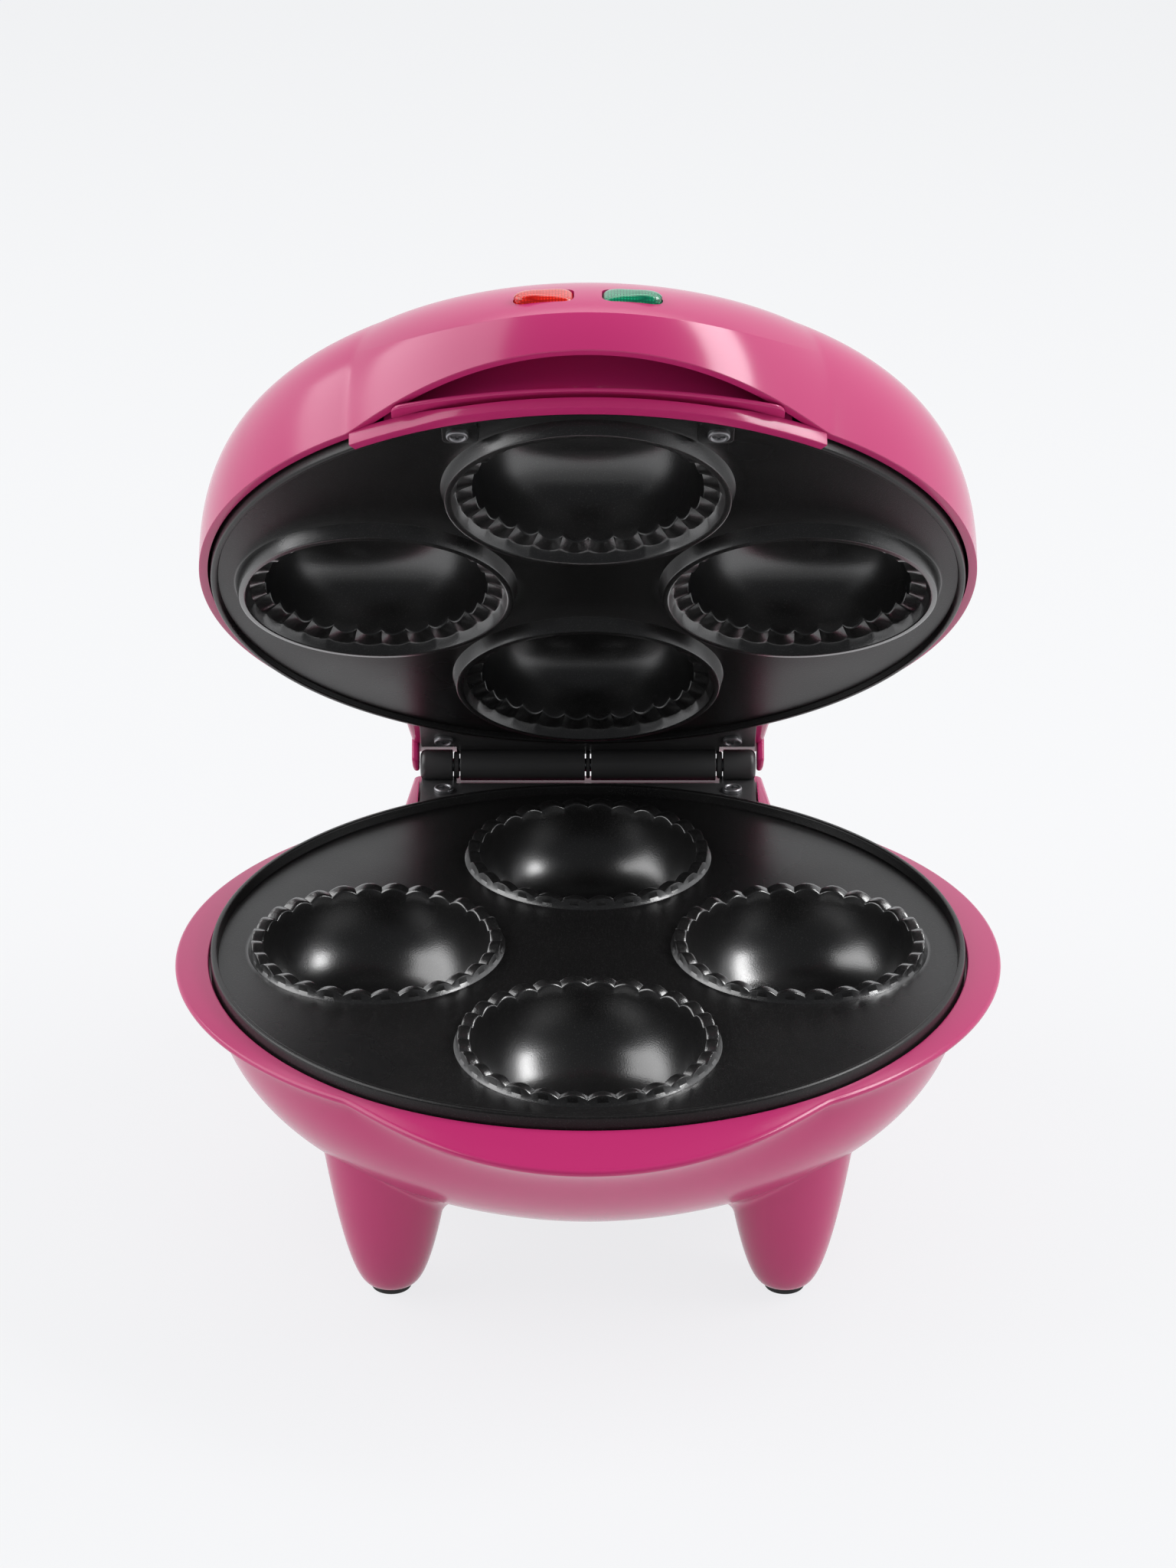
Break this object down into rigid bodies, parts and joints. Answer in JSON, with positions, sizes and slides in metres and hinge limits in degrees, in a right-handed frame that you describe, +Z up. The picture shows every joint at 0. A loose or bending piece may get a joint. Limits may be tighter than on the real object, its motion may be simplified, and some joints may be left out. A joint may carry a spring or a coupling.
{
  "type": "cupcake maker",
  "caption": "Countertop electric cupcake maker: domed lid hinged open over a round base on tapered legs, with crimped non-stick baking cups and a finger pocket under the lid's hood.",
  "frame": {"origin": "on the table under the middle of the machine's outline, with the lid open", "axes": "+Z up, -Y towards the cook, +X to the cook's right; the hinge axis is parallel to X at the back"},
  "size_m": [0.23, 0.2554, 0.2729],
  "materials": {
    "housing": "glossy moulded magenta plastic",
    "non_stick": "die-cast aluminium with a black semi-gloss non-stick coating",
    "element_tube": "matt steel sheath",
    "reflector": "plain mill sheet",
    "bright_screw": "zinc plated",
    "bright_steel": "ground bright steel",
    "black_steel": "semi-gloss black coating",
    "rubber": "matt black rubber",
    "ceramic": "off-white, stands in for steatite",
    "red_lens": "clear red, ribbed behind",
    "green_lens": "clear green, ribbed behind",
    "lamp_glass": "clear glass"
  },
  "bodies": {
    "base": {"base_shell": "housing", "lower_plate": "non_stick", "lower_heating_element": "element_tube", "lower_reflector": "reflector", "lower_reflector_screw": "bright_screw", "thermostat": "ceramic", "thermal_fuse": "bright_screw", "terminal_block": "ceramic", "cord_gland": "rubber", "lower_hinge_bracket": "black_steel", "hinge_pin": "bright_steel", "foot_pad_rear_right": "rubber", "foot_pad_rear_left": "rubber", "foot_pad_front_left": "rubber", "foot_pad_front_right": "rubber", "base_screw_front": "bright_screw", "base_screw_right": "bright_screw", "base_screw_rear": "bright_screw", "base_screw_left": "bright_screw", "lower_hinge_screw_left": "black_steel", "lower_hinge_screw_right": "black_steel"},
    "lid": {"lid_shell": "housing", "handle_liner": "housing", "upper_plate": "non_stick", "upper_heating_element": "element_tube", "upper_reflector": "reflector", "upper_reflector_screw": "bright_screw", "upper_hinge_bracket": "black_steel", "upper_hinge_screw_left": "black_steel", "upper_hinge_screw_right": "black_steel", "upper_plate_screw_left": "black_steel", "upper_plate_screw_right": "black_steel", "power_lamp_lens": "red_lens", "ready_lamp_lens": "green_lens", "power_lamp_neon": "lamp_glass", "ready_lamp_neon": "lamp_glass"}
  },
  "joints": [
    {"name": "lid_hinge", "type": "hinge", "parent": "base", "child": "lid", "pos_m": [0, 0.11135, 0.08017], "axis": [-1, 0, 0], "range_deg": [-47.6, 52.4]}
  ]
}
